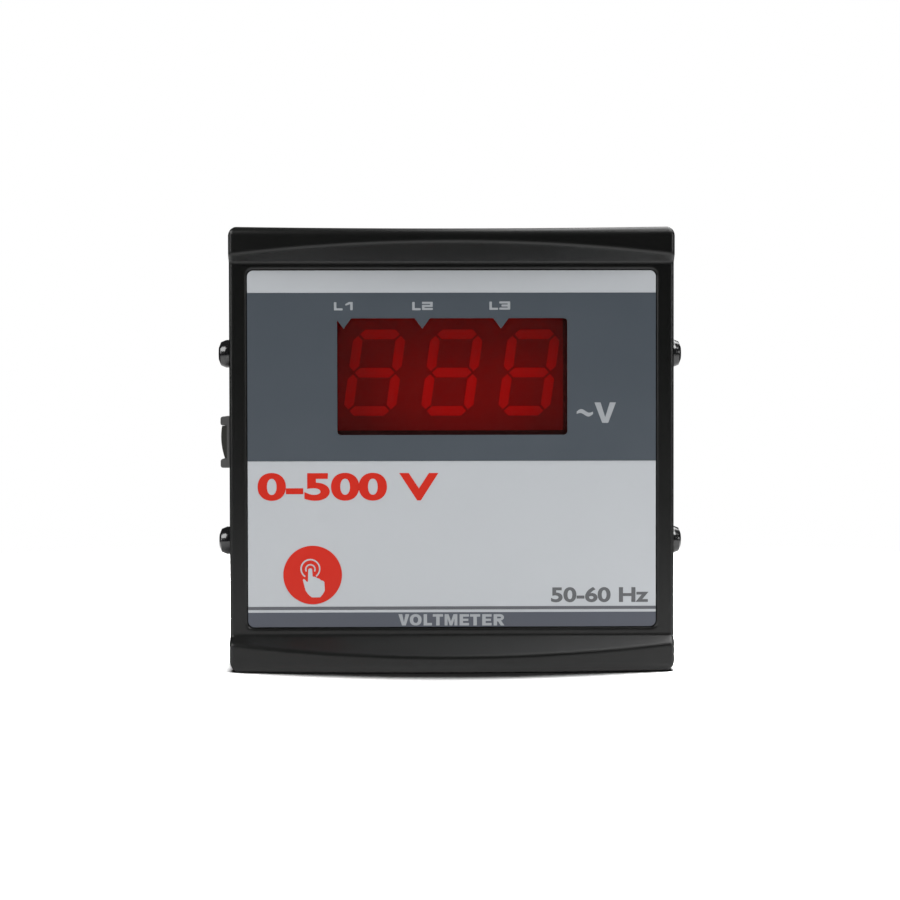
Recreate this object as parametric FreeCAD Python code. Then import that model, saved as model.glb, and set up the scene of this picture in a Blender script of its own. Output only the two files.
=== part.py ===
import FreeCAD, Part
import math
import os

from FreeCAD import Vector

# A square panel meter for a 72 mm panel place: three digits of seven segments behind a red window.
# All lengths are in millimetres. X is to the right, Y goes back into the panel, Z is up.
# The origin is the centre of the panel cut-out, on the plane where the bezel meets the panel.

# Bezel
bezel_width = 72.0
bezel_height = 72.0
bezel_flange = 6.3
bezel_top_dip = 0.45
bezel_top_radius = 1.6
bezel_bottom_radius = 2.0
bezel_front_wall = 2.5
bezel_side_bevel = 0.4
bezel_corner_spare = 0.02
bezel_back_spare = 1.0
flange_cover = 2.75

# Bowed rails across the top and the bottom of the bezel
rail_height_top = 5.7
rail_height_bottom = 5.8
rail_reach_middle = 3.7
rail_reach_end = 1.35
rail_slope_deg = 40.0
rail_outer_round = 1.2
rail_outer_steps = 4
rail_inner_round = 0.4
rail_inner_steps = 2

# Printed film and the recess that holds it
label_side_margin = 2.95
label_top_margin = 1.35
label_bottom_margin = 1.45
label_thickness = 0.25
label_radius = 1.0
label_gap = 0.2
label_recess = 0.35
print_thickness = 0.05
band_top_strip = 3.6
band_dark = 27.2
band_thin_rise = 3.3
band_thin = 0.5
band_foot = 2.35
window_width = 37.3
window_height = 18.9
window_x = 0.1
window_drop = 7.7
window_radius = 0.6
marker_width = 2.5
marker_height = 1.7
marker_first_x = -17.5
marker_pitch = 12.75

# Display behind the window
filter_thickness = 1.5
filter_ledge = 1.4
filter_gap = 0.1
display_width = 37.6
display_height = 19.0
display_depth = 8.0
display_setback = 6.6
display_x = 0.1
display_rise = 0.7
display_pin_count = 6
digit_count = 3
digit_end_trim = 0.25
digit_space = 4.1
digit_side_margin = 2.4
digit_slant_deg = 8.0
segment_thickness = 1.6
segment_gap = 0.25
segment_relief = 0.1
hood_gap = 0.4
hood_wall = 1.2
hood_overlap = 1.5

# Key behind the film
key_side = 10.45
key_rise = 8.45
key_disc_diameter = 9.5
key_diameter = 5.0
key_collar_diameter = 6.4
key_collar_length = 1.8
key_play = 0.1
key_film_gap = 0.05
key_stop_gap = 0.3
key_guide_wall = 1.2
key_travel = 0.25
switch_size = 6.0
switch_body = 3.5
switch_stem = 1.5
switch_stem_width = 3.2
switch_stem_sunk = 0.6
switch_well_spare = 0.15

# Front board, with the posts and clips that hold it
board_thickness = 1.6
front_board_margin = 3.25
front_post = 4.0
clip_width = 10.0
clip_thickness = 1.2
clip_gap = 0.1
clip_nib_reach = 0.8
clip_nib_length = 1.8
pin_gap = 0.05
hole_gap = 0.2

# Case behind the panel, its front edge let into the back of the bezel
case_depth = 55.0
case_sunk = 1.0
case_seat_gap = 0.1
case_wall = 2.0
case_radius = 1.5
case_to_board = 0.35
vent_width = 2.0
vent_length = 22.0
vent_pitch = 6.0
vent_count = 6
vent_start = 20.0
groove_depth = 2.0
groove_lip = 1.2
groove_gap = 0.1

# Snap hooks of the bezel and of the rear cover, in the windows of the case
hook_x = 18.0
hook_width = 8.0
hook_thickness = 1.2
hook_play = 0.25
hook_length = 8.0
hook_nib_length = 3.0
hook_nib_height = 1.3
hook_window_gap = 0.3

# Rear cover
cover_thickness = 2.5
cover_rib_length = 40.0
cover_rib_depth = 1.5
cover_rib_thickness = 1.2
cover_rib_gap = 0.2
cover_rib_foot = -10.0
cover_vent_width = 2.0
cover_vent_length = 16.0
cover_vent_pitch = 6.0
cover_vent_count = 7
cover_vent_z = 14.0

# Side clamps and their screws
clamp_margin = 12.25
clamp_length = 25.0
clamp_thickness = 3.55
clamp_wall_gap = 0.2
clamp_rest = 6.0
clamp_forward = 5.0
clamp_back = 3.0
clamp_chamfer = 1.0
clamp_grip_count = 3
clamp_grip_pitch = 2.0
clamp_grip_depth = 0.5
clamp_screw_y = 13.0
clamp_screw_margin = 17.4
clamp_screw_diameter = 2.5
clamp_screw_length = 8.0
clamp_screw_head = 4.7
clamp_screw_head_height = 2.15
clamp_screw_head_round = 1.25
clamp_screw_head_steps = 2
clamp_screw_drive = 2.1
clamp_screw_drive_width = 0.5
clamp_screw_drive_depth = 1.0
clamp_slot_gap = 0.2
clamp_seat_gap = 0.05
guide_rib_height = 0.65
guide_rib_width = 1.2
guide_rib_gap = 0.2
guide_rib_start = 2.5
screw_boss = 5.4
screw_boss_length = 2.5

# Grey holder with its dark pad, on the left clamp
holder_z = 0.95
holder_height = 8.6
holder_length = 10.0
holder_base = 0.55
holder_lug = 1.5
holder_reach = 1.6
holder_round = 0.4
pad_bow_radius = 11.0
pad_apex_offset = 0.95
pad_apex_drop = 0.1
pad_side_gap = 0.1

# Main board and what stands on it
main_board_rise = 11.25
main_board_front_gap = 0.7
header_pins_count = 6
header_pitch = 2.54
header_block = 2.5
header_pin = 0.6
header_setback = 1.2
core_width = 30.0
core_height = 25.0
core_stack = 12.0
core_leg = 5.0
core_x = -9.0
core_y = 32.0
coil_edge_select = 1.0
bobbin_gap = 0.1
bobbin_wall = 0.8
bobbin_flange = 1.0
winding_margin = 0.4
winding_overhang = 4.5
winding_round = 1.5
capacitor_count = 2
capacitor_diameter = 10.0
capacitor_height = 16.0
capacitor_x = 14.5
capacitor_y = 27.0
capacitor_pitch = 11.0
regulator_side = 6.25
regulator_y = 43.5
regulator_width = 10.0
regulator_depth = 4.4
regulator_height = 9.0
regulator_stand = 3.0
regulator_tab = 1.3
regulator_tab_height = 15.5
regulator_hole = 3.6
regulator_hole_drop = 3.0
regulator_leg = 0.8
regulator_leg_count = 3
rectifier_side = 7.25
rectifier_y = 16.5
rectifier_width = 6.4
rectifier_length = 8.4
rectifier_height = 2.6
rectifier_stand = 0.6
rectifier_leg_pitch = 5.08
rectifier_leg_width = 1.0
rectifier_leg_reach = 0.6
rectifier_leg_height = 2.0
resistor_count = 2
resistor_pitch = 5.0
resistor_diameter = 2.4
resistor_length = 6.3
resistor_lead = 0.6
resistor_lead_reach = 1.2
resistor_y = 45.0
resistor_side = 5.25
chip_width = 18.0
chip_height = 7.5
chip_depth = 2.3
chip_lift = 0.2
chip_leg_count = 6
chip_leg_width = 0.5
chip_leg_reach = 1.2
chip_side = 10.5
chip_rise = 21.0

# Terminal block at the rear
terminal_count = 6
terminal_pitch = 7.62
terminal_end_wall = 0.4
terminal_depth = 16.0
terminal_height = 14.0
terminal_proud = 8.5
terminal_slope_depth = 1.5
terminal_slope_height = 6.0
terminal_gap = 0.3
terminal_groove = 0.6
entry_size = 3.8
entry_height = 4.6
entry_depth = 9.0
cage_wall = 0.7
cage_gap = 0.1
cage_length = 5.4
cage_height = 7.2
terminal_screw_diameter = 3.4
terminal_screw_recess = 0.8
terminal_screw_y = 4.4
terminal_screw_slot = 0.6
terminal_screw_slot_depth = 0.8
terminal_pin = 0.9
terminal_pin_length = 3.0
terminal_pin_inset = 2.0

# Places that follow from the sizes above
rail_foot_top = bezel_height / 2 - rail_height_top
rail_foot_bottom = bezel_height / 2 - rail_height_bottom
label_width = bezel_width - 2 * label_side_margin
label_top = rail_foot_top - label_top_margin
label_bottom = -rail_foot_bottom + label_bottom_margin
label_height = label_top - label_bottom
label_z = (label_top + label_bottom) / 2
digit_pitch = (display_width + 2 * digit_end_trim) / digit_count
digit_width = digit_pitch - digit_space
digit_height = display_height - 2 * digit_side_margin
key_x = -label_width / 2 + key_side
key_z = label_bottom + key_rise
window_z = label_top - window_drop - window_height / 2
display_z = window_z + display_rise
bezel_front = -bezel_flange
recess_floor = bezel_front + label_recess
wall_back = recess_floor + bezel_front_wall
label_front = recess_floor - label_thickness
display_front = bezel_front + display_setback
front_board_y = display_front + display_depth
front_board_back = front_board_y + board_thickness
case_width = bezel_width - 2 * flange_cover
case_height = bezel_height - 2 * flange_cover
case_inner_x = case_width / 2 - case_wall
case_inner_z = case_height / 2 - case_wall
front_board_width = 2 * (case_inner_x - front_board_margin)
front_board_height = 2 * (case_inner_z - front_board_margin)
chip_x = front_board_width / 2 - chip_side
chip_z = -front_board_height / 2 + chip_rise
main_board_z = -case_inner_z + main_board_rise
clamp_height = case_height - 2 * clamp_margin
clamp_screw_z = case_height / 2 - clamp_screw_margin
regulator_x = case_inner_x - regulator_side
rectifier_x = case_inner_x - rectifier_side
resistor_first_x = -case_inner_x + resistor_side
cover_back = case_depth + cover_thickness
board_top = main_board_z + board_thickness / 2
board_bottom = main_board_z - board_thickness / 2
main_board_front = front_board_back + main_board_front_gap
clamp_inner = case_width / 2 + clamp_wall_gap
clamp_outer = clamp_inner + clamp_thickness
screw_seat = clamp_outer + clamp_seat_gap
terminal_back = cover_back + terminal_proud
terminal_front = terminal_back - terminal_depth


def block(x0, x1, y0, y1, z0, z1):
    return Part.makeBox(x1 - x0, y1 - y0, z1 - z0, Vector(x0, y0, z0))


def centred(width, depth, height, x, y, z):
    """Block centred on x and on z, starting at y."""
    return block(x - width / 2, x + width / 2, y, y + depth, z - height / 2, z + height / 2)


def rod(radius, length, start, direction):
    return Part.makeCylinder(radius, length, start, direction)


def prism(points, direction):
    """Straight-sided outline swept along a direction."""
    corners = [Vector(*p) for p in points]
    wire = Part.makePolygon(corners + corners[:1])
    return Part.Face(wire).extrude(direction)


def rounded(width, height, radius, y0, y1, x=0.0, z=0.0):
    """Rectangle with round corners, facing forward, from y0 back to y1."""
    shape = centred(width, y1 - y0, height, x, y0, z)
    return shape.makeFillet(radius, lengthwise(shape))


def slot_along_y(width, y0, y1, x0, x1, z):
    """Slot with round ends that runs along Y and goes through along X."""
    r = width / 2
    middle = block(x0, x1, y0 + r, y1 - r, z - r, z + r)
    ends = [rod(r, x1 - x0, Vector(x0, y, z), Vector(1, 0, 0)) for y in (y0 + r, y1 - r)]
    return middle.fuse(ends).removeSplitter()


def mirrored(shape):
    """The same shape on the other side of the YZ plane."""
    return shape.mirror(Vector(0, 0, 0), Vector(1, 0, 0))


def spread(count, pitch, centre=0.0):
    return [centre + (i - (count - 1) / 2) * pitch for i in range(count)]


def bow(x, middle, end):
    """Height at x of an arc over the bezel's width, from its heights in the middle and at both ends."""
    half = bezel_width / 2
    rise = middle - end
    radius = (half ** 2 + rise ** 2) / (2 * rise)
    return end + math.sqrt(radius ** 2 - x ** 2) - (radius - rise)


def turned_corner(tip, first_deg, second_deg, radius, steps):
    """Points (y, z) of the round at a corner whose two sides leave it at these angles from +Y."""
    first = math.radians(first_deg)
    second = math.radians(second_deg)
    half = (second - first) / 2
    middle = first + half
    reach = radius / math.sin(abs(half))
    centre_y = tip[0] + reach * math.cos(middle)
    centre_z = tip[1] + reach * math.sin(middle)
    quarter = math.copysign(math.pi / 2, half)
    sweep = 2 * (half - quarter)
    points = []
    for i in range(steps + 1):
        angle = first - quarter + i / steps * sweep
        points.append((centre_y + radius * math.cos(angle), centre_z + radius * math.sin(angle)))
    return points


def rail_points(x, foot, outer, setback):
    """Front line (y, z) of one rail at x, from its outer round over its inner round to its foot."""
    reach = bow(x, rail_reach_middle, rail_reach_end)
    front = bezel_front - reach + setback
    tip = foot + math.tan(math.radians(rail_slope_deg)) * reach
    points = turned_corner((front, outer), 0, -90, rail_outer_round, rail_outer_steps)
    points += turned_corner((front, tip), 90, -rail_slope_deg, rail_inner_round, rail_inner_steps)
    return points + [(bezel_front + setback, foot)]


def bezel_section(x, place, setback):
    """Outline of the bezel as it is at x, laid in the plane at place, its front moved back by setback.

    It runs a little past the panel plane, where the block of bezel_corners trims it flat."""
    top = bezel_height / 2 - bow(x, bezel_top_dip, 0)
    upper = rail_points(x, rail_foot_top, top, setback)
    lower = rail_points(x, rail_foot_bottom, bezel_height / 2, setback)
    outline = [(bezel_back_spare, top)] + upper + [(y, -z) for y, z in reversed(lower)]
    outline.append((bezel_back_spare, -bezel_height / 2))
    corners = [Vector(place, y, z) for y, z in outline]
    return Part.makePolygon(corners + corners[:1])


def bezel_shell():
    """Flange and both bowed rails in one moulding, lofted across the width, with bevelled side edges."""
    side = bezel_width / 2
    inset = side - bezel_side_bevel
    shell = Part.makeLoft([bezel_section(x, x, 0) for x in (-inset, 0, inset)], True, False)
    ends = []
    for sign in (-1, 1):
        whole = bezel_section(inset, sign * inset, 0)
        bevelled = bezel_section(inset, sign * side, bezel_side_bevel)
        ends.append(Part.makeLoft([whole, bevelled], True, True))
    return shell.fuse(ends).common(bezel_corners())


def bezel_corners():
    """Block with the round corners of the bezel, a little taller so that it trims only the corners."""
    depth = bezel_flange + rail_reach_middle
    height = bezel_height + 2 * bezel_corner_spare
    stock = centred(bezel_width, 2 * depth, height, 0, -2 * depth, 0)
    stock = stock.makeFillet(bezel_bottom_radius, [e for e in lengthwise(stock) if e.BoundBox.ZMax < 0])
    return stock.makeFillet(bezel_top_radius, [e for e in lengthwise(stock) if e.BoundBox.ZMin > 0])


def lengthwise(shape):
    """Straight edges that run along Y."""
    return [e for e in shape.Edges if abs(e.tangentAt(e.FirstParameter).y) > 0.9]


def make_bezel():
    shell = bezel_shell()
    recess = rounded(label_width + 2 * label_gap, label_height + 2 * label_gap, label_radius,
                     bezel_front - rail_reach_middle, recess_floor, z=label_z)
    shell = shell.cut(recess)
    shell = shell.cut([
        centred(2 * (case_inner_x - hook_play), -wall_back, 2 * (case_inner_z - hook_play), 0, wall_back, 0),
        centred(case_width + 2 * case_seat_gap, case_sunk, case_height + 2 * case_seat_gap, 0, -case_sunk, 0),
    ])
    shell = shell.fuse(bezel_fittings()).removeSplitter()
    return shell.cut(bezel_holes())


def hood_size():
    return display_width + 2 * hood_gap, display_height + 2 * hood_gap


def hood_box(grow, y0, y1):
    width, height = hood_size()
    top = display_z + height / 2
    bottom = min(display_z - height / 2, window_z - window_height / 2 - hood_gap)
    return centred(width + 2 * grow, y1 - y0, top - bottom + 2 * grow, display_x, y0, (top + bottom) / 2)


def bezel_fittings():
    """Display hood, key guide, board posts, board clips and snap hooks on the back of the front wall."""
    fittings = [hood_box(hood_wall, wall_back, display_front + hood_overlap)]
    guide = key_diameter / 2 + key_play + key_guide_wall
    fittings.append(rod(guide, key_guide_end() - wall_back, Vector(key_x, wall_back, key_z), Vector(0, 1, 0)))
    reach_x = (front_board_width - front_post) / 2
    reach_z = (front_board_height - front_post) / 2
    for x in (-reach_x, reach_x):
        for z in (-reach_z, reach_z):
            fittings.append(centred(front_post, front_board_y - wall_back, front_post, x, wall_back, z))
    return fittings + board_clips() + snap_hooks()


def bezel_holes():
    """Pocket of the filter, hood bore and key bore."""
    key_bore = rod(key_diameter / 2 + key_play, key_guide_end() - recess_floor,
                   Vector(key_x, recess_floor, key_z), Vector(0, 1, 0))
    hood_bore = hood_box(0, recess_floor + filter_thickness, display_front + hood_overlap)
    return [filter_place(filter_gap), hood_bore, key_bore]


def board_clips():
    """Two springy clips whose nibs reach over the back of the front board's side edges."""
    clips = []
    inner = front_board_width / 2 + clip_gap
    catch = front_board_back + clip_gap
    z = clip_width / 2
    for side in (-1, 1):
        clips.append(prism([
            (side * inner, wall_back, -z),
            (side * inner, catch, -z),
            (side * (inner - clip_nib_reach), catch, -z),
            (side * inner, catch + clip_nib_length, -z),
            (side * (inner + clip_thickness), catch + clip_nib_length, -z),
            (side * (inner + clip_thickness), wall_back, -z),
        ], Vector(0, 0, clip_width)))
    return clips


def hook(x, side, root, tip):
    """Snap hook inside the case's top or bottom wall, from its root to its tip, with the nib at the tip."""
    wall = case_inner_z - hook_play
    low, high = sorted((side * wall, side * (wall - hook_thickness)))
    left = x - hook_width / 2
    y0, y1 = sorted((root, tip))
    tongue = block(left, left + hook_width, y0, y1, low, high)
    catch = tip + math.copysign(hook_nib_length, root - tip)
    nib = prism([
        (left, catch, side * wall),
        (left, catch, side * (wall + hook_nib_height)),
        (left, tip, side * wall),
    ], Vector(hook_width, 0, 0))
    return tongue.fuse(nib).removeSplitter()


def snap_hooks():
    """The bezel's four hooks."""
    return [hook(x, side, wall_back, hook_length) for x in (-hook_x, hook_x) for side in (-1, 1)]


def cover_hooks():
    """The rear cover's four hooks."""
    tip = case_depth - hook_length
    return [hook(x, side, case_depth, tip) for x in (-hook_x, hook_x) for side in (-1, 1)]


def filter_place(gap):
    """Space of the red filter, grown by a gap on its four sides."""
    return hood_box(filter_ledge + gap, recess_floor, recess_floor + filter_thickness)


def key_collar_back():
    return front_board_y - switch_body - switch_stem


def key_guide_end():
    return key_collar_back() - key_collar_length - key_stop_gap


def window_cut(y0, y1):
    """Window in the film, less the three small pointers that hang into it from its top edge."""
    window = rounded(window_width, window_height, window_radius, y0, y1, window_x, window_z)
    top = window_z + window_height / 2
    for i in range(digit_count):
        x = marker_first_x + i * marker_pitch
        pointer = prism([
            (x - marker_width / 2, y0, top),
            (x + marker_width / 2, y0, top),
            (x, y0, top - marker_height),
        ], Vector(0, y1 - y0, 0))
        window = window.cut(pointer)
    return max(window.Solids, key=lambda s: s.Volume)


def make_front_label():
    film = rounded(label_width, label_height, label_radius, label_front, recess_floor, z=label_z)
    return film.cut(window_cut(label_front, recess_floor))


def label_strip(top, height):
    """Printed field across the film, top measured down from the film's upper edge."""
    upper = label_z + label_height / 2 - top
    y = label_front - print_thickness
    strip = block(-label_width / 2, label_width / 2, y, label_front, upper - height, upper)
    film = rounded(label_width, label_height, label_radius, y, label_front, z=label_z)
    return strip.common(film)


def make_label_dark_band():
    return label_strip(band_top_strip, band_dark).cut(window_cut(label_front - print_thickness, label_front))


def make_label_foot_bands():
    thin = label_strip(label_height - band_thin_rise, band_thin)
    foot = label_strip(label_height - band_foot, band_foot)
    return Part.makeCompound([thin, foot])


def make_label_key_disc():
    y = label_front - print_thickness
    return rod(key_disc_diameter / 2, print_thickness, Vector(key_x, y, key_z), Vector(0, 1, 0))


def make_display_filter():
    return filter_place(0)


def segment_outline(x0, z0, x1, z1):
    """Six-cornered segment between two end points, with pointed ends."""
    length = math.hypot(x1 - x0, z1 - z0)
    ux = (x1 - x0) / length
    uz = (z1 - z0) / length
    half = segment_thickness / 2
    shape = []
    for along, across in ((0, 0), (half, half), (length - half, half),
                          (length, 0), (length - half, -half), (half, -half)):
        shape.append((x0 + ux * along - uz * across, z0 + uz * along + ux * across))
    return shape


def digit_segments(x):
    """The seven segments of one digit, as slanted prisms on the display's face."""
    lean = math.tan(math.radians(digit_slant_deg))
    half_w = (digit_width - segment_thickness) / 2
    half_h = (digit_height - segment_thickness) / 2
    g = segment_gap
    runs = [
        (-half_w + g, half_h, half_w - g, half_h),
        (half_w, half_h - g, half_w, g),
        (half_w, -g, half_w, -half_h + g),
        (-half_w + g, -half_h, half_w - g, -half_h),
        (-half_w, -g, -half_w, -half_h + g),
        (-half_w, half_h - g, -half_w, g),
        (-half_w + g, 0, half_w - g, 0),
    ]
    solids = []
    for run in runs:
        points = [(x + px + pz * lean, display_front - segment_relief, display_z + pz)
                  for px, pz in segment_outline(*run)]
        solids.append(prism(points, Vector(0, segment_relief, 0)))
    return solids


def make_display_segments():
    solids = []
    for x in spread(digit_count, digit_pitch, display_x):
        solids += digit_segments(x)
    return Part.makeCompound(solids)


def make_display_housing():
    return centred(display_width, display_depth, display_height, display_x, display_front, display_z)


def display_pin_places():
    reach = (display_height - header_pitch) / 2
    return [(x, z) for z in (display_z - reach, display_z + reach)
            for x in spread(display_pin_count, header_pitch, display_x)]


def make_display_pins():
    length = board_thickness + header_pin * 2
    pins = [centred(header_pin, length, header_pin, x, front_board_y, z) for x, z in display_pin_places()]
    return Part.makeCompound(pins)


def make_front_board():
    board = centred(front_board_width, board_thickness, front_board_height, 0, front_board_y, 0)
    size = header_pin + 2 * pin_gap
    places = display_pin_places() + [(x, header_z()) for x in spread(header_pins_count, header_pitch)]
    return board.cut([centred(size, board_thickness, size, x, front_board_y, z) for x, z in places])


def pan_screw():
    """Clamp screw along +Z: plain shank below the origin, pan head with a cross drive above it."""
    radius = clamp_screw_head / 2
    top = clamp_screw_head_height
    turn = clamp_screw_head_round
    rim = []
    for i in range(clamp_screw_head_steps + 1):
        angle = i / clamp_screw_head_steps * math.pi / 2
        rim.append((radius - turn + turn * math.cos(angle), top - turn + turn * math.sin(angle)))
    shank = clamp_screw_diameter / 2
    profile = [(0, -clamp_screw_length), (shank, -clamp_screw_length), (shank, 0), (radius, 0)]
    corners = [Vector(r, 0, z) for r, z in profile + rim + [(0, top)]]
    screw = Part.Face(Part.makePolygon(corners + corners[:1])).revolve(Vector(0, 0, 0), Vector(0, 0, 1), 360)
    size = clamp_screw_drive
    width = clamp_screw_drive_width
    bottom = top - clamp_screw_drive_depth
    bars = [block(-size / 2, size / 2, -width / 2, width / 2, bottom, top),
            block(-width / 2, width / 2, -size / 2, size / 2, bottom, top)]
    return screw.cut(bars[0].fuse(bars[1]).removeSplitter())


def aimed(shape, place, direction):
    """Turns a shape modelled along +Z to a direction and moves it to its place."""
    turn = FreeCAD.Rotation(Vector(0, 0, 1), direction)
    shape = shape.copy()
    shape.Placement = FreeCAD.Placement(place, turn)
    return shape


def make_key_switch():
    body = centred(switch_size, switch_body, switch_size, key_x, front_board_y - switch_body, key_z)
    depth = switch_stem_sunk + key_travel + switch_well_spare
    width = switch_stem_width + 2 * key_play
    return body.cut(centred(width, depth, width, key_x, front_board_y - switch_body, key_z))


def make_key_switch_stem():
    length = switch_stem + switch_stem_sunk
    return centred(switch_stem_width, length, switch_stem_width, key_x, key_collar_back(), key_z)


def make_key_plunger():
    front = recess_floor + key_film_gap
    back = key_collar_back()
    shaft = rod(key_diameter / 2, back - front, Vector(key_x, front, key_z), Vector(0, 1, 0))
    collar = rod(key_collar_diameter / 2, key_collar_length,
                 Vector(key_x, back - key_collar_length, key_z), Vector(0, 1, 0))
    return shaft.fuse(collar).removeSplitter()


def make_case_body():
    outer = rounded(case_width, case_height, case_radius, -case_sunk, case_depth)
    inner = centred(2 * case_inner_x, case_sunk + case_depth, 2 * case_inner_z, 0, -case_sunk, 0)
    tube = outer.cut(inner)
    tube = tube.fuse(board_grooves() + screw_bosses() + guide_ribs()).removeSplitter()
    return tube.cut(case_holes())


def board_grooves():
    """Lips on both side walls that hold the main board's edges."""
    lips = []
    half = board_thickness / 2 + groove_gap
    for side in (-1, 1):
        x0, x1 = sorted((side * case_inner_x, side * (case_inner_x - groove_depth)))
        for z0 in (main_board_z + half, main_board_z - half - groove_lip):
            lips.append(block(x0, x1, main_board_front, case_depth - cover_rib_depth - cover_rib_gap,
                              z0, z0 + groove_lip))
    return lips


def clamp_screw_places():
    return [(clamp_screw_y, -clamp_screw_z), (clamp_screw_y, clamp_screw_z)]


def screw_bosses():
    """Square bosses inside the side walls, which give the clamp screws their thread."""
    bosses = []
    for y, z in clamp_screw_places():
        for side in (-1, 1):
            x0, x1 = sorted((side * case_inner_x, side * (case_inner_x - screw_boss_length)))
            half = screw_boss / 2
            bosses.append(block(x0, x1, y - half, y + half, z - half, z + half))
    return bosses


def guide_ribs():
    """Low ribs outside the side walls, which guide the clamps' edges."""
    ribs = []
    for side in (-1, 1):
        x0, x1 = sorted((side * case_width / 2, side * (case_width / 2 + guide_rib_height)))
        for edge in (-1, 1):
            near = edge * (clamp_height / 2 + guide_rib_gap)
            z0, z1 = sorted((near, near + edge * guide_rib_width))
            ribs.append(block(x0, x1, guide_rib_start, case_depth, z0, z1))
    return ribs


def case_holes():
    """Vents, snap windows and screw bores."""
    holes = []
    spare = hook_window_gap
    half = hook_width / 2 + spare
    for side in (-1, 1):
        z0, z1 = sorted((side * case_inner_z, side * case_height / 2))
        for x in spread(vent_count, vent_pitch):
            left = x - vent_width / 2
            holes.append(block(left, left + vent_width, vent_start, vent_start + vent_length, z0, z1))
        for x in (-hook_x, hook_x):
            for tip, catch in ((hook_length, hook_length - hook_nib_length),
                               (case_depth - hook_length, case_depth - hook_length + hook_nib_length)):
                y0, y1 = sorted((tip, catch))
                holes.append(block(x - half, x + half, y0 - spare, y1 + spare, z0, z1))
    for y, z in clamp_screw_places():
        for side in (-1, 1):
            holes.append(rod(clamp_screw_diameter / 2 + pin_gap, case_wall + screw_boss_length,
                             Vector(side * case_width / 2, y, z), Vector(-side, 0, 0)))
    return holes


def terminal_width():
    return terminal_count * terminal_pitch + 2 * terminal_end_wall


def make_rear_cover():
    plate = rounded(case_width, case_height, case_radius, case_depth, cover_back)
    half = cover_rib_length / 2
    reach_x = case_inner_x - cover_rib_gap
    reach_z = case_inner_z - cover_rib_gap
    y0 = case_depth - cover_rib_depth
    ribs = []
    for side in (-1, 1):
        x0, x1 = sorted((side * reach_x, side * (reach_x - cover_rib_thickness)))
        ribs.append(block(x0, x1, y0, case_depth, cover_rib_foot, half))
        z0, z1 = sorted((side * reach_z, side * (reach_z - cover_rib_thickness)))
        ribs.append(block(-half, half, y0, case_depth, z0, z1))
    cover = plate.fuse(ribs + cover_hooks()).removeSplitter()
    terminal = terminal_width() / 2 + terminal_gap
    holes = [block(-terminal, terminal, case_depth, cover_back,
                   board_top - terminal_gap, board_top + terminal_height + terminal_gap)]
    z0 = cover_vent_z - cover_vent_length / 2
    for x in spread(cover_vent_count, cover_vent_pitch):
        holes.append(block(x - cover_vent_width / 2, x + cover_vent_width / 2, case_depth, cover_back,
                           z0, z0 + cover_vent_length))
    return cover.cut(holes)


def clamp_right_shape():
    """Slotted block on the right side wall, with its outer front edge chamfered and grip grooves behind."""
    y0 = clamp_rest
    y1 = clamp_rest + clamp_length
    z = clamp_height / 2
    c = clamp_chamfer
    clamp = prism([
        (clamp_inner, y0, -z),
        (clamp_outer - c, y0, -z),
        (clamp_outer, y0 + c, -z),
        (clamp_outer, y1 - c, -z),
        (clamp_outer - c, y1, -z),
        (clamp_inner, y1, -z),
    ], Vector(0, 0, clamp_height))
    radius = clamp_screw_diameter / 2 + clamp_slot_gap
    cuts = []
    for y, place_z in clamp_screw_places():
        cuts.append(slot_along_y(2 * radius, y - radius - clamp_back, y + radius + clamp_forward,
                                 clamp_inner, clamp_outer, place_z))
    for i in range(clamp_grip_count):
        y = y1 - c - (i + 1) * clamp_grip_pitch
        cuts.append(block(clamp_outer - clamp_grip_depth, clamp_outer, y, y + clamp_grip_pitch / 2, -z, z))
    return clamp.cut(cuts)


def make_clamp_right():
    return clamp_right_shape()


def make_clamp_left():
    return mirrored(clamp_right_shape())


def make_clamp_screws_right():
    screw = pan_screw()
    return Part.makeCompound([aimed(screw, Vector(screw_seat, y, z), Vector(1, 0, 0))
                              for y, z in clamp_screw_places()])


def make_clamp_screws_left():
    return mirrored(make_clamp_screws_right())


def make_pad_holder():
    """Light grey holder on the left clamp: a thin base with a lug at each end."""
    y0 = clamp_screw_y - holder_length / 2
    y1 = y0 + holder_length
    z0 = holder_z - holder_height / 2
    z1 = holder_z + holder_height / 2
    x = -clamp_outer
    holder = block(x - holder_base, x, y0, y1, z0, z1)
    for low in (z0, z1 - holder_lug):
        lug = block(x - holder_reach, x, y0, y1, low, low + holder_lug)
        edges = [e for e in lengthwise(lug) if e.BoundBox.XMax < x - holder_reach / 2]
        holder = holder.fuse(lug.makeFillet(holder_round, edges))
    return holder.removeSplitter()


def make_thumb_pad():
    """Dark pad with a bowed face between the holder's lugs."""
    y0 = clamp_screw_y - holder_length / 2
    base = -clamp_outer - holder_base
    z0 = holder_z - holder_height / 2 + holder_lug + pad_side_gap
    z1 = holder_z + holder_height / 2 - holder_lug - pad_side_gap
    apex_x = -clamp_outer - holder_reach + pad_apex_drop
    centre = Vector(apex_x + pad_bow_radius, y0, holder_z + pad_apex_offset)
    drum = rod(pad_bow_radius, holder_length, centre, Vector(0, 1, 0))
    slab = block(apex_x - holder_base, base, y0, y0 + holder_length, z0, z1)
    return slab.common(drum)


def header_z():
    return board_top + header_block / 2


def header_y():
    return main_board_front + header_setback


def make_board_header():
    width = header_pins_count * header_pitch
    body = centred(width, header_block, header_block, 0, header_y(), header_z())
    return body.cut(header_pin_solids())


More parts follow.
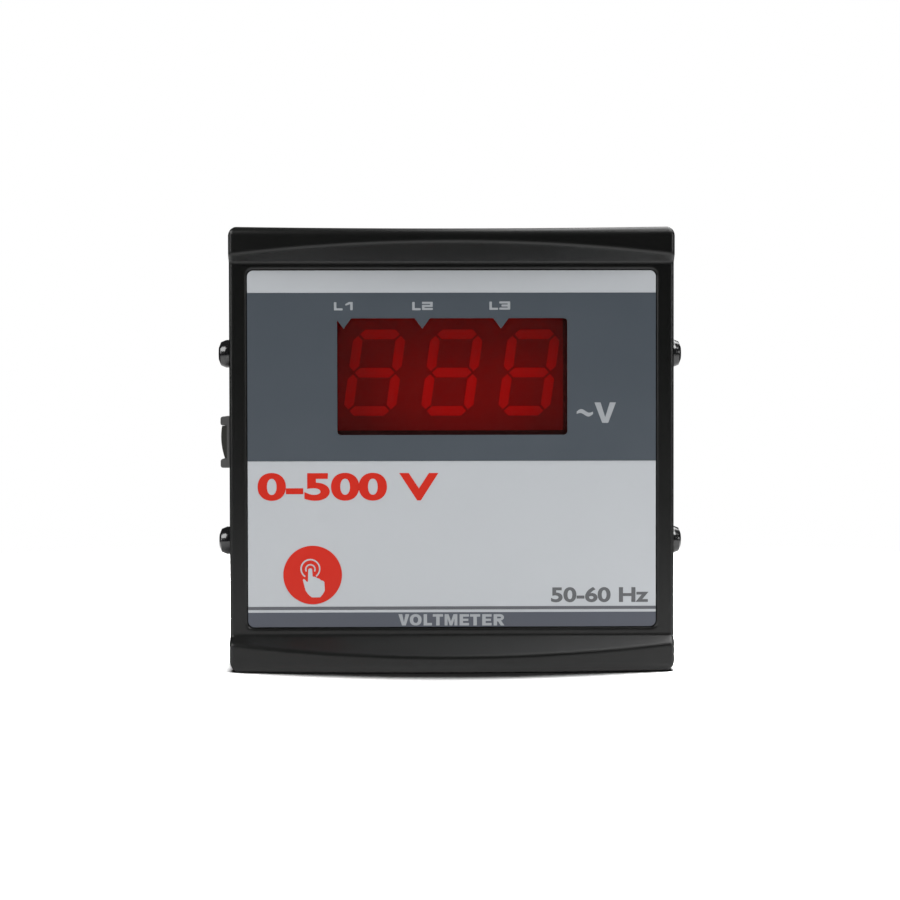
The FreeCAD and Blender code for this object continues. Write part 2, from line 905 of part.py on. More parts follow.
def header_pin_solids():
    """Bent pins: forward through the front board, and down through the main board."""
    pins = []
    half = header_pin / 2
    y_bend = header_y() + header_block / 2
    y_tip = front_board_y - header_pin
    z = header_z()
    foot = board_bottom - header_pin * 2
    for x in spread(header_pins_count, header_pitch):
        forward = block(x - half, x + half, y_tip, y_bend + half, z - half, z + half)
        down = block(x - half, x + half, y_bend - half, y_bend + half, foot, z + half)
        pins.append(forward.fuse(down).removeSplitter())
    return pins


def make_header_pins():
    return Part.makeCompound(header_pin_solids())


def make_main_board():
    half = case_inner_x - case_to_board
    back = case_depth - cover_rib_depth - cover_rib_gap
    board = block(-half, half, main_board_front, back, board_bottom, board_top)
    size = header_pin + 2 * pin_gap
    y = header_y() + header_block / 2
    holes = [block(x - size / 2, x + size / 2, y - size / 2, y + size / 2, board_bottom, board_top)
             for x in spread(header_pins_count, header_pitch)]
    wide = terminal_pin + 2 * pin_gap
    y = terminal_pin_y()
    holes += [block(x - wide / 2, x + wide / 2, y - wide / 2, y + wide / 2, board_bottom, board_top)
              for x in spread(terminal_count, terminal_pitch)]
    return board.cut(holes)


def core_window_width():
    return core_width / 2 - 2 * core_leg


def core_windows(shrink):
    """The two windows of the laminated core, each less a margin all round."""
    window_w = core_window_width()
    z0 = board_top + core_leg
    z1 = board_top + core_height - core_leg
    spaces = []
    for side in (-1, 1):
        x0, x1 = sorted((core_x + side * core_leg, core_x + side * (core_leg + window_w)))
        spaces.append((x0 + shrink, x1 - shrink, z0 + shrink, z1 - shrink))
    return spaces


def make_transformer_core():
    y0 = core_y - core_stack / 2
    y1 = core_y + core_stack / 2
    core = block(core_x - core_width / 2, core_x + core_width / 2, y0, y1, board_top, board_top + core_height)
    cuts = [block(x0, x1, y0, y1, z0, z1) for x0, x1, z0, z1 in core_windows(0)]
    return core.cut(cuts)


def coil_ring(inner, outer_x, outer_y, z0, z1):
    """Rectangular ring round the core's middle leg."""
    half_leg_x = core_leg + inner
    half_leg_y = core_stack / 2 + inner
    ring = block(core_x - outer_x, core_x + outer_x, core_y - outer_y, core_y + outer_y, z0, z1)
    hole = block(core_x - half_leg_x, core_x + half_leg_x, core_y - half_leg_y, core_y + half_leg_y, z0, z1)
    return ring.cut(hole)


def coil_reach():
    return core_leg + core_window_width() - winding_margin, core_stack / 2 + winding_overhang


def make_transformer_bobbin():
    """Former on the middle leg: a thin tube between two flanges."""
    reach_x, reach_y = coil_reach()
    z0 = board_top + core_leg + bobbin_gap
    z1 = board_top + core_height - core_leg - bobbin_gap
    lower = coil_ring(bobbin_gap, reach_x, reach_y, z0, z0 + bobbin_flange)
    upper = coil_ring(bobbin_gap, reach_x, reach_y, z1 - bobbin_flange, z1)
    wall = bobbin_gap + bobbin_wall
    tube = coil_ring(bobbin_gap, core_leg + wall, core_stack / 2 + wall, z0, z1)
    return lower.fuse([upper, tube]).removeSplitter()


def make_transformer_winding():
    reach_x, reach_y = coil_reach()
    z0 = board_top + core_leg + bobbin_gap + bobbin_flange
    z1 = board_top + core_height - core_leg - bobbin_gap - bobbin_flange
    coil = coil_ring(bobbin_gap + bobbin_wall, reach_x - winding_margin, reach_y - winding_margin, z0, z1)
    outside = reach_x - winding_margin - bobbin_gap
    edges = [e for e in coil.Edges if e.BoundBox.ZLength > coil_edge_select
             and abs(e.BoundBox.XMin - core_x) > outside]
    return coil.makeFillet(winding_round, edges)


def make_smoothing_capacitors():
    cans = []
    for i in range(capacitor_count):
        foot = Vector(capacitor_x, capacitor_y + i * capacitor_pitch, board_top)
        cans.append(rod(capacitor_diameter / 2, capacitor_height, foot, Vector(0, 0, 1)))
    return Part.makeCompound(cans)


def make_voltage_regulator():
    """Upright three-leg package with a drilled metal tab."""
    base = board_top + regulator_stand
    back = regulator_y + regulator_depth
    body = block(regulator_x - regulator_width / 2, regulator_x + regulator_width / 2,
                 regulator_y, back, base, base + regulator_height)
    tab = block(regulator_x - regulator_width / 2, regulator_x + regulator_width / 2,
                back, back + regulator_tab, base, base + regulator_tab_height)
    hole = rod(regulator_hole / 2, regulator_tab,
               Vector(regulator_x, back, base + regulator_tab_height - regulator_hole_drop), Vector(0, 1, 0))
    middle = regulator_y + (regulator_depth - regulator_leg) / 2
    legs = []
    for x in spread(regulator_leg_count, header_pitch, regulator_x):
        left = x - regulator_leg / 2
        legs.append(block(left, left + regulator_leg, middle, middle + regulator_leg, board_top, base))
    return body.fuse([tab.cut(hole)] + legs).removeSplitter()


def make_bridge_rectifier():
    half = rectifier_width / 2
    z0 = board_top + rectifier_stand
    body = block(rectifier_x - half, rectifier_x + half, rectifier_y - rectifier_length / 2,
                 rectifier_y + rectifier_length / 2, z0, z0 + rectifier_height)
    legs = []
    for side in (-1, 1):
        x0, x1 = sorted((rectifier_x + side * half, rectifier_x + side * (half + rectifier_leg_reach)))
        for y in spread(2, rectifier_leg_pitch, rectifier_y):
            legs.append(block(x0, x1, y - rectifier_leg_width / 2, y + rectifier_leg_width / 2,
                              board_top, board_top + rectifier_leg_height))
    return body.fuse(legs).removeSplitter()


def make_input_resistors():
    """Row of axial resistors lying along Y, each with its leads bent down to the board."""
    solids = []
    r = resistor_diameter / 2
    z = board_top + r
    half = resistor_length / 2
    lead = resistor_lead / 2
    for i in range(resistor_count):
        x = resistor_first_x + i * resistor_pitch
        body = rod(r, resistor_length, Vector(x, resistor_y - half, z), Vector(0, 1, 0))
        for side in (-1, 1):
            end = resistor_y + side * (half + resistor_lead_reach)
            y0, y1 = sorted((resistor_y + side * half, end))
            run = block(x - lead, x + lead, y0, y1, z - lead, z + lead)
            y0, y1 = sorted((end, end - side * resistor_lead))
            foot = block(x - lead, x + lead, y0, y1, board_top, z + lead)
            body = body.fuse([run, foot])
        solids.append(body.removeSplitter())
    return Part.makeCompound(solids)


def make_controller_chip():
    """Flat package on the back of the front board, with legs along its long sides."""
    body = centred(chip_width, chip_depth, chip_height, chip_x, front_board_back + chip_lift, chip_z)
    legs = []
    for x in spread(chip_leg_count, chip_width / chip_leg_count, chip_x):
        for side in (-1, 1):
            edge = chip_z + side * chip_height / 2
            z0, z1 = sorted((edge, edge + side * chip_leg_reach))
            legs.append(block(x - chip_leg_width / 2, x + chip_leg_width / 2,
                              front_board_back, front_board_back + chip_leg_reach, z0, z1))
    return body.fuse(legs).removeSplitter()


def terminal_pin_y():
    return terminal_front + terminal_pin_inset


def terminal_screw_place():
    return terminal_back - terminal_screw_y


def make_terminal_block():
    """Six-way block with wire entries at the back and screw wells on top."""
    half = terminal_width() / 2
    top = board_top + terminal_height
    body = prism([
        (-half, terminal_front, board_top),
        (-half, terminal_back, board_top),
        (-half, terminal_back, top - terminal_slope_height),
        (-half, terminal_back - terminal_slope_depth, top),
        (-half, terminal_front, top),
    ], Vector(2 * half, 0, 0))
    cuts = []
    for x in spread(terminal_count, terminal_pitch):
        cuts.append(terminal_cavity(x))
    for x in spread(terminal_count - 1, terminal_pitch):
        groove = block(x - terminal_groove / 2, x + terminal_groove / 2, cover_back, terminal_back,
                       top - terminal_groove, top)
        cuts.append(groove)
    return body.cut(cuts)


def cage_box(grow):
    """Space of one clamp cage about x = 0, grown on all sides."""
    width = entry_size + 2 * cage_wall
    y = terminal_screw_place()
    z0 = board_top + entry_height - entry_size / 2 - cage_wall
    return (width / 2 + grow, y - cage_length / 2 - grow, y + cage_length / 2 + grow,
            z0 - grow, z0 + cage_height + grow)


def terminal_cavity(x):
    """One way: wire entry from the back, cage space and screw well from the top."""
    z = board_top + entry_height
    entry = centred(entry_size, entry_depth, entry_size, x, terminal_back - entry_depth, z)
    half, y0, y1, z0, z1 = cage_box(cage_gap)
    cage = block(x - half, x + half, y0, y1, z0, z1)
    radius = terminal_screw_diameter / 2 + hole_gap
    well = rod(radius, board_top + terminal_height - z, Vector(x, terminal_screw_place(), z), Vector(0, 0, 1))
    return entry.fuse([cage, well]).removeSplitter()


def make_terminal_cages():
    """Small square clamps, open to the back, one for each wire."""
    cages = []
    half, y0, y1, z0, z1 = cage_box(0)
    for x in spread(terminal_count, terminal_pitch):
        cage = block(x - half, x + half, y0, y1, z0, z1)
        left = x - entry_size / 2
        foot = z0 + cage_wall
        mouth = block(left, left + entry_size, y0, y1, foot, foot + entry_size)
        cages.append(cage.cut(mouth))
    return Part.makeCompound(cages)


def make_terminal_screws():
    """Slotted set screws that stand on the cages' upper walls."""
    screws = []
    foot = cage_box(0)[-1]
    top = board_top + terminal_height - terminal_screw_recess
    y = terminal_screw_place()
    for x in spread(terminal_count, terminal_pitch):
        screw = rod(terminal_screw_diameter / 2, top - foot, Vector(x, y, foot), Vector(0, 0, 1))
        slot = block(x - terminal_screw_diameter, x + terminal_screw_diameter, y - terminal_screw_slot / 2,
                     y + terminal_screw_slot / 2, top - terminal_screw_slot_depth, top)
        screws.append(screw.cut(slot))
    return Part.makeCompound(screws)


def make_terminal_pins():
    y = terminal_pin_y()
    pins = [block(x - terminal_pin / 2, x + terminal_pin / 2, y - terminal_pin / 2, y + terminal_pin / 2,
                  board_bottom - terminal_pin_length + board_thickness, board_top)
            for x in spread(terminal_count, terminal_pitch)]
    return Part.makeCompound(pins)


NODES = {
    "bezel": make_bezel,
    "front_label": make_front_label,
    "label_dark_band": make_label_dark_band,
    "label_foot_bands": make_label_foot_bands,
    "label_key_disc": make_label_key_disc,
    "display_filter": make_display_filter,
    "display_housing": make_display_housing,
    "display_segments": make_display_segments,
    "display_pins": make_display_pins,
    "front_board": make_front_board,
    "controller_chip": make_controller_chip,
    "key_switch": make_key_switch,
    "key_switch_stem": make_key_switch_stem,
    "key_plunger": make_key_plunger,
    "case_body": make_case_body,
    "rear_cover": make_rear_cover,
    "clamp_left": make_clamp_left,
    "clamp_right": make_clamp_right,
    "clamp_screws_left": make_clamp_screws_left,
    "clamp_screws_right": make_clamp_screws_right,
    "pad_holder": make_pad_holder,
    "thumb_pad": make_thumb_pad,
    "main_board": make_main_board,
    "board_header": make_board_header,
    "header_pins": make_header_pins,
    "transformer_core": make_transformer_core,
    "transformer_bobbin": make_transformer_bobbin,
    "transformer_winding": make_transformer_winding,
    "smoothing_capacitors": make_smoothing_capacitors,
    "voltage_regulator": make_voltage_regulator,
    "bridge_rectifier": make_bridge_rectifier,
    "input_resistors": make_input_resistors,
    "terminal_block": make_terminal_block,
    "terminal_cages": make_terminal_cages,
    "terminal_screws": make_terminal_screws,
    "terminal_pins": make_terminal_pins,
}

os.makedirs("parts", exist_ok=True)
for name, make in NODES.items():
    make().exportStep(f"parts/{name}.step")
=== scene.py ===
import math

import bmesh
import bpy
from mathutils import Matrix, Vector


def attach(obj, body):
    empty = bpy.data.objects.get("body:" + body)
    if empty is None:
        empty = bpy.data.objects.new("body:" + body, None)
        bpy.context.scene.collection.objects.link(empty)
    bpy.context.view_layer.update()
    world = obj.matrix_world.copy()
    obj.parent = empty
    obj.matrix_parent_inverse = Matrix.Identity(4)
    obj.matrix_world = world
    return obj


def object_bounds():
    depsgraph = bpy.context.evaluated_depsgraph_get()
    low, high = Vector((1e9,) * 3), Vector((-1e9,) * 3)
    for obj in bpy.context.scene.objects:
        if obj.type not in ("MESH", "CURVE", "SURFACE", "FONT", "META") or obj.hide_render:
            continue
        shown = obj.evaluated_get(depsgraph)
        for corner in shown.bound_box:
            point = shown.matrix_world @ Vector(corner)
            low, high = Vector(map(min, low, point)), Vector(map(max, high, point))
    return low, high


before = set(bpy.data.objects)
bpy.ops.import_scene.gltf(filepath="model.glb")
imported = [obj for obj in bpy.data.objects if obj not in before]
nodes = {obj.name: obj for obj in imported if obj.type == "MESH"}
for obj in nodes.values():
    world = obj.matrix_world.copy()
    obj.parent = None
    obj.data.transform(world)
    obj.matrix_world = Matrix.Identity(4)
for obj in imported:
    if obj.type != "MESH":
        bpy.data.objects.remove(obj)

cad_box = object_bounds()
MM = 0.001

# Camera: the photograph's own view, worked out from the bezel's outline and the heads at its sides
IMAGE = 900
FOCAL_PX = 2348.0
SENSOR_MM = 36.0
CAMERA_AT = Vector((-5.6, -386.3, 9.5)) * MM
CAMERA_AIM = Vector((-0.31, -6.3, -0.08)) * MM
CAMERA_ROLL_DEG = -0.1


def make_camera():
    """Set the camera and return its directions to the right, up and ahead."""
    data = bpy.data.cameras.new("studio_camera")
    data.sensor_width = SENSOR_MM
    data.lens = SENSOR_MM * FOCAL_PX / IMAGE
    data.clip_start = 0.01
    data.clip_end = 50.0
    camera = bpy.data.objects.new("studio_camera", data)
    bpy.context.scene.collection.objects.link(camera)
    turn = (CAMERA_AIM - CAMERA_AT).to_track_quat("-Z", "Y").to_matrix()
    back = turn.col[2].copy()
    spin = math.radians(CAMERA_ROLL_DEG)
    right = turn.col[0] * math.cos(spin) + turn.col[1] * math.sin(spin)
    up = back.cross(right)
    turn.col[0] = right
    turn.col[1] = up
    camera.location = CAMERA_AT
    camera.rotation_mode = "QUATERNION"
    camera.rotation_quaternion = turn.to_quaternion()
    bpy.context.scene.camera = camera
    return right, up, -back


RIGHT, UP, AHEAD = make_camera()


def on_plane(px, py, y):
    """Place (x, z) in millimetres where the view through a pixel meets the plane at depth y."""
    ray = AHEAD * FOCAL_PX + RIGHT * (px - IMAGE / 2) - UP * (py - IMAGE / 2)
    hit = CAMERA_AT + ray * ((y * MM - CAMERA_AT.y) / ray.y)
    return hit.x / MM, hit.z / MM


# Building blocks of the materials

def empty_material(name):
    material = bpy.data.materials.new(name)
    material.use_nodes = True
    tree = material.node_tree
    tree.nodes.clear()
    return material, tree, tree.nodes.new("ShaderNodeOutputMaterial")


def new_material(name):
    material, tree, output = empty_material(name)
    shader = tree.nodes.new("ShaderNodeBsdfPrincipled")
    tree.links.new(shader.outputs["BSDF"], output.inputs["Surface"])
    return material, tree, shader, output


def noise(tree, scale, detail, stretch=None):
    """Noise in the object's own metres; scale is in cells per metre."""
    source = tree.nodes.new("ShaderNodeTexCoord").outputs["Object"]
    if stretch:
        mapping = tree.nodes.new("ShaderNodeMapping")
        mapping.inputs["Scale"].default_value = stretch
        tree.links.new(source, mapping.inputs["Vector"])
        source = mapping.outputs["Vector"]
    grain = tree.nodes.new("ShaderNodeTexNoise")
    grain.inputs["Scale"].default_value = scale
    grain.inputs["Detail"].default_value = detail
    grain.inputs["Roughness"].default_value = 0.55
    tree.links.new(source, grain.inputs["Vector"])
    return grain.outputs["Fac"]


def spread_over(tree, value, low, high, out_low, out_high):
    """A value from low to high, carried over to out_low to out_high and held there beyond."""
    node = tree.nodes.new("ShaderNodeMapRange")
    node.inputs["From Min"].default_value = low
    node.inputs["From Max"].default_value = high
    node.inputs["To Min"].default_value = out_low
    node.inputs["To Max"].default_value = out_high
    tree.links.new(value, node.inputs["Value"])
    return node.outputs["Result"]


def calculate(tree, operation, *values):
    """One step of arithmetic on numbers and sockets."""
    node = tree.nodes.new("ShaderNodeMath")
    node.operation = operation
    for socket, value in zip(node.inputs, values):
        if isinstance(value, float):
            socket.default_value = value
        else:
            tree.links.new(value, socket)
    return node.outputs["Value"]


def own_place(tree):
    """Sockets X, Y and Z of the object's own place, and the place itself."""
    where = tree.nodes.new("ShaderNodeTexCoord").outputs["Object"]
    split = tree.nodes.new("ShaderNodeSeparateXYZ")
    tree.links.new(where, split.inputs["Vector"])
    return split.outputs, where


def blend_colors(tree, factor, first, second):
    """Colour between two, each a tuple or a socket."""
    node = tree.nodes.new("ShaderNodeMix")
    node.data_type = "RGBA"
    for socket, color in ((node.inputs[6], first), (node.inputs[7], second)):
        if isinstance(color, tuple):
            socket.default_value = (*color, 1.0)
        else:
            tree.links.new(color, socket)
    tree.links.new(factor, node.inputs[0])
    return node.outputs[2]


def blend_shaders(tree, factor, first, second):
    """Shader between two; the factor is a number or a socket."""
    mix = tree.nodes.new("ShaderNodeMixShader")
    if isinstance(factor, float):
        mix.inputs["Fac"].default_value = factor
    else:
        tree.links.new(factor, mix.inputs["Fac"])
    tree.links.new(first, mix.inputs[1])
    tree.links.new(second, mix.inputs[2])
    return mix.outputs["Shader"]


def shade(color, factor):
    return tuple(share * factor for share in color)


def grey(level):
    return (level, level, level)


# Kinds of material

BUMP_DEPTH = 0.02 * MM
ROUNDER_SAMPLES = 12
PLASTIC_CLOUDS = 90.0
METAL_CLOUDS = 160.0
PRINT_GRAIN = 5200.0
CLOUDS_SPAN = (0.25, 0.75)
GRAIN_SPAN = (0.30, 0.70)
GLASS_TINTS = ((0.90, 0.055, 0.045), (0.95, 0.065, 0.055))
GLASS_SURFACE = (0.12, 0.055, 0.050)
GLASS_SURFACE_SHARE = 0.10
GLASS_ROUGH = (0.08, 0.16)


def bump(tree, shader, height, strength, edge=0.0):
    """Grain in the normal; edges catch the light as if rounded by a radius of edge millimetres."""
    bumps = tree.nodes.new("ShaderNodeBump")
    bumps.inputs["Strength"].default_value = strength
    bumps.inputs["Distance"].default_value = BUMP_DEPTH
    tree.links.new(height, bumps.inputs["Height"])
    if edge:
        rounder = tree.nodes.new("ShaderNodeBevel")
        rounder.samples = ROUNDER_SAMPLES
        rounder.inputs["Radius"].default_value = edge * MM
        tree.links.new(rounder.outputs["Normal"], bumps.inputs["Normal"])
    tree.links.new(bumps.outputs["Normal"], shader.inputs["Normal"])


def plastic(name, color, rough, grain=2600.0, rise=0.05, vary=0.12, rough_vary=0.06, specular=0.5,
            stretch=None, edge=0.0):
    """Moulded plastic: fine grain in the bump, soft clouds in colour and gloss."""
    material, tree, shader, _ = new_material(name)
    clouds = noise(tree, PLASTIC_CLOUDS, 2.0)
    fine = noise(tree, grain, 3.0, stretch)
    color_out = blend_colors(tree, clouds, shade(color, 1.0 - vary), shade(color, 1.0 + vary))
    tree.links.new(color_out, shader.inputs["Base Color"])
    gloss = spread_over(tree, clouds, *CLOUDS_SPAN, rough - rough_vary, rough + rough_vary)
    tree.links.new(gloss, shader.inputs["Roughness"])
    bump(tree, shader, fine, rise, edge)
    shader.inputs["Specular IOR Level"].default_value = specular
    return material


def ink(name, color, rough, vary=0.03, specular=0.5):
    """Satin print on film, with a very fine grain."""
    return plastic(name, color, rough, grain=PRINT_GRAIN, vary=vary, rough_vary=0.04, specular=specular)


def metal(name, color, rough, grain=1800.0, rise=0.12, stretch=None):
    """Bare metal: clouds in the colour, brushed grain in the gloss and the bump."""
    material, tree, shader, _ = new_material(name)
    clouds = noise(tree, METAL_CLOUDS, 4.0)
    fine = noise(tree, grain, 2.0, stretch)
    color_out = blend_colors(tree, clouds, shade(color, 0.82), shade(color, 1.06))
    tree.links.new(color_out, shader.inputs["Base Color"])
    gloss = spread_over(tree, fine, *GRAIN_SPAN, rough - 0.08, rough + 0.1)
    tree.links.new(gloss, shader.inputs["Roughness"])
    bump(tree, shader, fine, rise)
    shader.inputs["Metallic"].default_value = 1.0
    return material


def red_glass(name):
    """Clear red sheet: it tints what lies behind it and carries a thin gloss of its own."""
    material, tree, shader, output = new_material(name)
    tint = tree.nodes.new("ShaderNodeBsdfTransparent")
    clouds = noise(tree, 60.0, 3.0)
    tree.links.new(blend_colors(tree, clouds, *GLASS_TINTS), tint.inputs["Color"])
    shader.inputs["Base Color"].default_value = (*GLASS_SURFACE, 1.0)
    shader.inputs["Specular IOR Level"].default_value = 0.5
    fine = noise(tree, 900.0, 2.0)
    gloss = spread_over(tree, fine, *GRAIN_SPAN, *GLASS_ROUGH)
    tree.links.new(gloss, shader.inputs["Roughness"])
    sheet = blend_shaders(tree, GLASS_SURFACE_SHARE, tint.outputs["BSDF"], shader.outputs["BSDF"])
    tree.links.new(sheet, output.inputs["Surface"])
    return material


def second_color(material, factor, color):
    """Blend the material's own colour to a second one by a factor."""
    tree = material.node_tree
    shader = next(node for node in tree.nodes if node.type == "BSDF_PRINCIPLED")
    socket = shader.inputs["Base Color"]
    tree.links.new(blend_colors(tree, factor, socket.links[0].from_socket, color), socket)


def face_with_painted_shade(name, left, right, painted_shade_from_x, blur, rough):
    """Dull plastic whose colour changes at a place across: the second colour, beyond it, is painted shade
    along that edge.
    """
    material = plastic(name, left, rough, grain=1500.0, rise=0.15, vary=0.06)
    place, _ = own_place(material.node_tree)
    beyond = spread_over(material.node_tree, place["X"], painted_shade_from_x - blur, painted_shade_from_x, 0.0, 1.0)
    second_color(material, beyond, right)
    return material


def two_bands(name, upper, lower, border_z, rough):
    """Print whose colour changes at a height."""
    material = ink(name, upper, rough, vary=0.02)
    place, _ = own_place(material.node_tree)
    below = calculate(material.node_tree, "LESS_THAN", place["Z"], border_z)
    second_color(material, below, lower)
    return material


# Materials, one for each kind of surface

# The display face is near-black from here to its right edge: painted shade, for the shadow inside the
# window's right side.
DISPLAY_PAINTED_SHADE_X = 18.5 * MM
DISPLAY_PAINTED_SHADE_BLUR = 0.2 * MM
FOOT_BORDER_Z = -26.2 * MM

MATERIALS = {
    "bezel": plastic("m_bezel", (0.0036, 0.0038, 0.0036), 0.295, grain=2400.0, rise=0.04, vary=0.05,
                     rough_vary=0.015, edge=0.75),
    "case": plastic("m_case", (0.012, 0.012, 0.012), 0.46, grain=2200.0, rise=0.22, vary=0.10, edge=0.30),
    "clamp": plastic("m_clamp", (0.010, 0.010, 0.0105), 0.40, grain=2400.0, rise=0.16, vary=0.10, edge=0.25),
    "film": ink("m_film", (0.500, 0.522, 0.545), 0.34, vary=0.012),
    "dark_band": ink("m_dark_band", (0.070, 0.084, 0.100), 0.33, vary=0.02),
    "foot_bands": two_bands("m_foot_bands", (0.112, 0.117, 0.130), (0.080, 0.088, 0.110), FOOT_BORDER_Z,
                            0.33),
    "red_print": ink("m_red_print", (0.590, 0.022, 0.010), 0.36, specular=0.30),
    "grey_print": ink("m_grey_print", (0.115, 0.118, 0.125), 0.33),
    "light_print": ink("m_light_print", (0.36, 0.38, 0.40), 0.33),
    "glass": red_glass("m_red_window"),
    # Display face: its own dark red, with a near-black strip at the right edge that is painted shade.
    "display": face_with_painted_shade("m_display_face_painted_shade", (0.28, 0.20, 0.18), (0.02, 0.012, 0.012), DISPLAY_PAINTED_SHADE_X,
                          DISPLAY_PAINTED_SHADE_BLUR, 0.55),
    "segment": plastic("m_segment", (0.74, 0.46, 0.42), 0.45, grain=1800.0, rise=0.10, vary=0.05),
    "board": plastic("m_board", (0.018, 0.115, 0.045), 0.35, grain=700.0, rise=0.25, vary=0.22),
    "chip": plastic("m_chip", (0.022, 0.022, 0.023), 0.55, grain=3200.0, rise=0.25),
    "tinned": metal("m_tinned", (0.68, 0.68, 0.66), 0.30),
    "steel": metal("m_steel", (0.56, 0.57, 0.58), 0.34),
    "iron": metal("m_core", (0.23, 0.23, 0.24), 0.46, grain=2600.0, rise=0.35, stretch=(0.02, 3.0, 0.02)),
    "screw": plastic("m_screw_black", (0.010, 0.010, 0.011), 0.16, grain=1500.0, rise=0.04, vary=0.15,
                     rough_vary=0.04, specular=0.9),
    "holder": plastic("m_holder_grey", (0.12, 0.12, 0.118), 0.42, rise=0.12, vary=0.06),
    "pad": plastic("m_pad_dark", (0.030, 0.030, 0.026), 0.62, grain=1400.0, rise=0.30, vary=0.15),
    "key_white": plastic("m_key_white", (0.62, 0.62, 0.60), 0.40, grain=2400.0, rise=0.10, vary=0.04),
    "nylon": plastic("m_bobbin", (0.50, 0.48, 0.42), 0.45, grain=2400.0, rise=0.12, vary=0.06),
    "tape": plastic("m_winding_tape", (0.55, 0.42, 0.07), 0.30, grain=1600.0, rise=0.25,
                    stretch=(0.3, 0.3, 4.0)),
    "sleeve": plastic("m_can_sleeve", (0.012, 0.018, 0.085), 0.24, grain=1100.0, rise=0.08, vary=0.10),
    "lacquer": plastic("m_resistor", (0.16, 0.28, 0.40), 0.28, grain=1700.0, rise=0.20, vary=0.10),
    "terminal": plastic("m_terminal", (0.020, 0.200, 0.070), 0.42, grain=2400.0, rise=0.14, vary=0.08),
}

WORN_BY = {
    "bezel": ["bezel"],
    "case": ["case_body", "rear_cover"],
    "clamp": ["clamp_left", "clamp_right"],
    "film": ["front_label"],
    "dark_band": ["label_dark_band"],
    "foot_bands": ["label_foot_bands"],
    "red_print": ["label_key_disc"],
    "glass": ["display_filter"],
    "display": ["display_housing"],
    "segment": ["display_segments"],
    "board": ["front_board", "main_board"],
    "chip": ["controller_chip", "key_switch", "board_header", "voltage_regulator", "bridge_rectifier"],
    "tinned": ["display_pins", "header_pins", "terminal_pins"],
    "steel": ["terminal_cages", "terminal_screws"],
    "iron": ["transformer_core"],
    "screw": ["clamp_screws_left", "clamp_screws_right"],
    "holder": ["pad_holder"],
    "pad": ["thumb_pad"],
    "key_white": ["key_switch_stem", "key_plunger"],
    "nylon": ["transformer_bobbin"],
    "tape": ["transformer_winding"],
    "sleeve": ["smoothing_capacitors"],
    "lacquer": ["input_resistors"],
    "terminal": ["terminal_block"],
}


def wear(mesh, material):
    mesh.materials.clear()
    mesh.materials.append(MATERIALS[material])


for material_name, wearers in WORN_BY.items():
    for wearer in wearers:
        wear(nodes[wearer].data, material_name)


# Clamp screws: rounder heads, seen against the white ground

WELD_WITHIN = 0.001 * MM
HEAD_ROUNDING = 0.35 * MM
HEAD_STEPS = 3
HEAD_EDGE_DEG = 25


def round_heads(screws):
    weld = screws.modifiers.new("weld", "WELD")
    weld.merge_threshold = WELD_WITHIN
    rounding = screws.modifiers.new("soft_edges", "BEVEL")
    rounding.width = HEAD_ROUNDING
    rounding.segments = HEAD_STEPS
    rounding.limit_method = "ANGLE"
    rounding.angle_limit = math.radians(HEAD_EDGE_DEG)


round_heads(nodes["clamp_screws_left"])
round_heads(nodes["clamp_screws_right"])


# Flat print: outlines or text in the film's plane, with the thickness of print

PRINT_THICK = 0.02


def as_mesh(name, curve):
    """Mesh of an outline or a text; nothing else of it stays in the scene."""
    holder = bpy.data.objects.new(name + "_outline", curve)
    bpy.context.scene.collection.objects.link(holder)
    bpy.context.view_layer.update()
    mesh = bpy.data.meshes.new_from_object(holder)
    bpy.data.objects.remove(holder)
    mesh.name = name
    return mesh


def add_print(name, mesh, material):
    """Piece of print that rides on the meter."""
    wear(mesh, material)
    piece = bpy.data.objects.new(name, mesh)
    bpy.context.scene.collection.objects.link(piece)
    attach(piece, "meter")


def outline_piece(name, loops, material, y):
    """Flat piece from closed loops of (x, z) in millimetres; a loop inside another is a hole."""
    curve = bpy.data.curves.new(name, "CURVE")
    curve.dimensions = "2D"
    curve.fill_mode = "BOTH"
    curve.extrude = PRINT_THICK / 2 * MM
    for loop in loops:
        spline = curve.splines.new("POLY")
        spline.points.add(len(loop) - 1)
        for point, (x, z) in zip(spline.points, loop):
            point.co = (x * MM, z * MM, 0.0, 1.0)
        spline.use_cyclic_u = True
    mesh = as_mesh(name, curve)
    for vertex in mesh.vertices:
        x, z, rise = vertex.co
        vertex.co = (x, y * MM - rise, z)
    add_print(name, mesh, material)


def text_piece(name, text, box, material, y, bolden):
    """A line of plain lettering stretched to a box of pixels (left, top, right, bottom)."""
    font = bpy.data.curves.new(name, "FONT")
    font.body = text
    font.offset = bolden
    font.extrude = PRINT_THICK / 2
    mesh = as_mesh(name, font)
    across = [vertex.co.x for vertex in mesh.vertices]
    upward = [vertex.co.y for vertex in mesh.vertices]
    left, top, right, bottom = box
    x0, z1 = on_plane(left, top, y)
    x1, z0 = on_plane(right, bottom, y)
    for vertex in mesh.vertices:
        share_x = (vertex.co.x - min(across)) / (max(across) - min(across))
        share_z = (vertex.co.y - min(upward)) / (max(upward) - min(upward))
        x = x0 + share_x * (x1 - x0)
        z = z0 + share_z * (z1 - z0)
        vertex.co = (x * MM, y * MM - vertex.co.z * MM, z * MM)
    add_print(name, mesh, material)


# Outlines: all are closed loops of (x, z) in millimetres

ROUNDING_SHARE = 0.45


def rounded_loop(points, radius, steps=3):
    """Closed loop with each corner rounded by up to radius, and up to a share of the sides beside it."""
    rounded = []
    for i, point in enumerate(points):
        corner = Vector(point)
        back = Vector(points[i - 1]) - corner
        fore = Vector(points[(i + 1) % len(points)]) - corner
        reach = min(radius, back.length * ROUNDING_SHARE, fore.length * ROUNDING_SHARE)
        start = corner + back.normalized() * reach
        end = corner + fore.normalized() * reach
        for step in range(steps + 1):
            t = step / steps
            place = start * (1 - t) ** 2 + corner * 2 * t * (1 - t) + end * t ** 2
            rounded.append((place.x, place.y))
    return rounded


